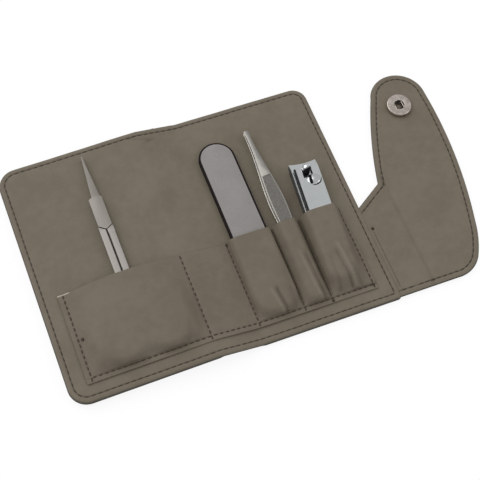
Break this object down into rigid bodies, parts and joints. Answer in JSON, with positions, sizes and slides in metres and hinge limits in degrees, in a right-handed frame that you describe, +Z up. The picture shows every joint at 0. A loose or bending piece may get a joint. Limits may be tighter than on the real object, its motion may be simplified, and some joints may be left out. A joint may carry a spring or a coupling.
{
  "type": "manicure set case",
  "caption": "Soft folding wallet laid open, with a snap flap and sewn pockets that hold nail scissors, a file, tweezers and nail clippers.",
  "frame": {"origin": "centre of the back half's flat underside, where it lies on the table", "axes": "+X out along the closing flap, +Y up the case towards the tips of the tools, +Z up off the table"},
  "size_m": [0.1946, 0.11, 0.0135],
  "materials": {
    "outer_leather": "soft matt grained leather",
    "lining_leather": "soft matt grained leather",
    "pocket_leather": "soft matt grained leather",
    "thread": "waxed sewing thread",
    "board": "grey stiffening board",
    "snap_metal": "antiqued nickel",
    "snap_inner_metal": "dark plated steel",
    "satin_steel": "satin steel",
    "brushed_steel": "brushed steel with matt grips",
    "chrome_steel": "polished nickel plate",
    "file_core": "black board",
    "fine_abrasive": "fine grey grit",
    "coarse_abrasive": "coarse grey grit"
  },
  "bodies": {
    "back_half": {"back_outer_cover": "outer_leather", "back_board": "board", "back_lining": "lining_leather", "back_edge_thread": "thread", "flap_root": "outer_leather", "back_pocket_leather": "pocket_leather", "back_pocket_thread": "thread"},
    "spine": {"spine_outer_cover": "outer_leather", "spine_lining": "lining_leather", "spine_pocket_leather": "pocket_leather", "spine_thread": "thread"},
    "front_half": {"front_outer_cover": "outer_leather", "front_board": "board", "front_lining": "lining_leather", "front_edge_thread": "thread", "front_pocket_leather": "pocket_leather", "front_pocket_thread": "thread", "snap_stud": "snap_metal", "snap_eyelet": "snap_inner_metal"},
    "flap_gusset": {"flap_gusset_cover": "outer_leather", "flap_gusset_lining": "lining_leather", "flap_gusset_thread": "thread"},
    "flap": {"flap_cover": "outer_leather", "flap_lining": "lining_leather", "flap_thread": "thread", "snap_cap": "snap_metal", "snap_socket": "snap_metal", "snap_spring": "snap_inner_metal"},
    "scissors": {"scissors_right_half": "satin_steel", "scissors_pivot_screw": "satin_steel"},
    "scissors_left": {"scissors_left_half": "satin_steel"},
    "file": {"file_core": "file_core", "file_fine_abrasive": "fine_abrasive", "file_coarse_abrasive": "coarse_abrasive"},
    "tweezers": {"tweezers_lower_arm": "brushed_steel"},
    "tweezers_upper": {"tweezers_upper_arm": "brushed_steel"},
    "clippers": {"clippers_lower_jaw": "chrome_steel", "clippers_tail_rivet": "chrome_steel"},
    "clippers_upper": {"clippers_upper_jaw": "chrome_steel"},
    "clippers_pin": {"clippers_pin": "chrome_steel"},
    "clippers_lever": {"clippers_lever": "chrome_steel"}
  },
  "joints": [
    {"name": "spine_fold", "type": "hinge", "parent": "back_half", "child": "spine", "pos_m": [-0.03105, 0, 0.0028], "axis": [0, 1, 0], "range_deg": [0, 78.79]},
    {"name": "cover_fold", "type": "hinge", "parent": "spine", "child": "front_half", "pos_m": [-0.04871, 0, 0.0063], "axis": [0, 1, 0], "range_deg": [0, 109.84]},
    {"name": "flap_rise", "type": "hinge", "parent": "back_half", "child": "flap_gusset", "pos_m": [0.03135, 0, 0.0022], "axis": [0, -1, 0], "range_deg": [0, 90]},
    {"name": "flap_fold", "type": "hinge", "parent": "flap_gusset", "child": "flap", "pos_m": [0.04665, 0, 0.0022], "axis": [0, -1, 0], "range_deg": [0, 78.77]},
    {"name": "scissors_draw", "type": "slide", "parent": "front_half", "child": "scissors", "axis": [0, -1, 0], "range_m": [-0.06, 0]},
    {"name": "scissors_open", "type": "hinge", "parent": "scissors", "child": "scissors_left", "pos_m": [-0.07465, 0.021, 0.00698], "axis": [-0.0371, 0, 0.9993], "range_deg": [-50, 0], "deforming": ["front_pocket_leather", "front_pocket_thread"]},
    {"name": "file_draw", "type": "slide", "parent": "back_half", "child": "file", "axis": [0, -1, 0], "range_m": [-0.06, 0]},
    {"name": "tweezers_draw", "type": "slide", "parent": "back_half", "child": "tweezers", "axis": [0, -1, 0], "range_m": [-0.06, 0]},
    {"name": "tweezers_squeeze", "type": "hinge", "parent": "tweezers", "child": "tweezers_upper", "pos_m": [-0.0026, -0.0349, 0.00555], "axis": [1, 0, 0], "range_deg": [-0.836, 0], "stiffness_Nm_per_rad": 0.5},
    {"name": "clippers_draw", "type": "slide", "parent": "back_half", "child": "clippers", "axis": [-0.075, -0.9972, 0], "range_m": [-0.06, 0]},
    {"name": "clippers_squeeze", "type": "hinge", "parent": "clippers", "child": "clippers_upper", "pos_m": [0.01073, -0.03243, 0.00485], "axis": [0.9972, -0.075, 0], "range_deg": [-1.59, 0], "stiffness_Nm_per_rad": 1},
    {"name": "clippers_pin_turn", "type": "hinge", "parent": "clippers", "child": "clippers_pin", "pos_m": [0.01396, 0.01055, 0.00315], "axis": [0, 0, -1], "range_deg": [-180, 0], "deforming": ["back_pocket_leather", "back_pocket_thread"]},
    {"name": "clippers_lever_flip", "type": "hinge", "parent": "clippers_pin", "child": "clippers_lever", "pos_m": [0.01402, 0.01145, 0.00994], "axis": [0.9972, -0.075, 0], "range_deg": [-150, 0], "deforming": ["back_pocket_leather", "back_pocket_thread"]}
  ],
  "couplings": [
    {"joint": "cover_fold", "follows": "spine_fold", "ratio": 1.3941},
    {"joint": "flap_fold", "follows": "flap_rise", "ratio": 0.8752}
  ]
}
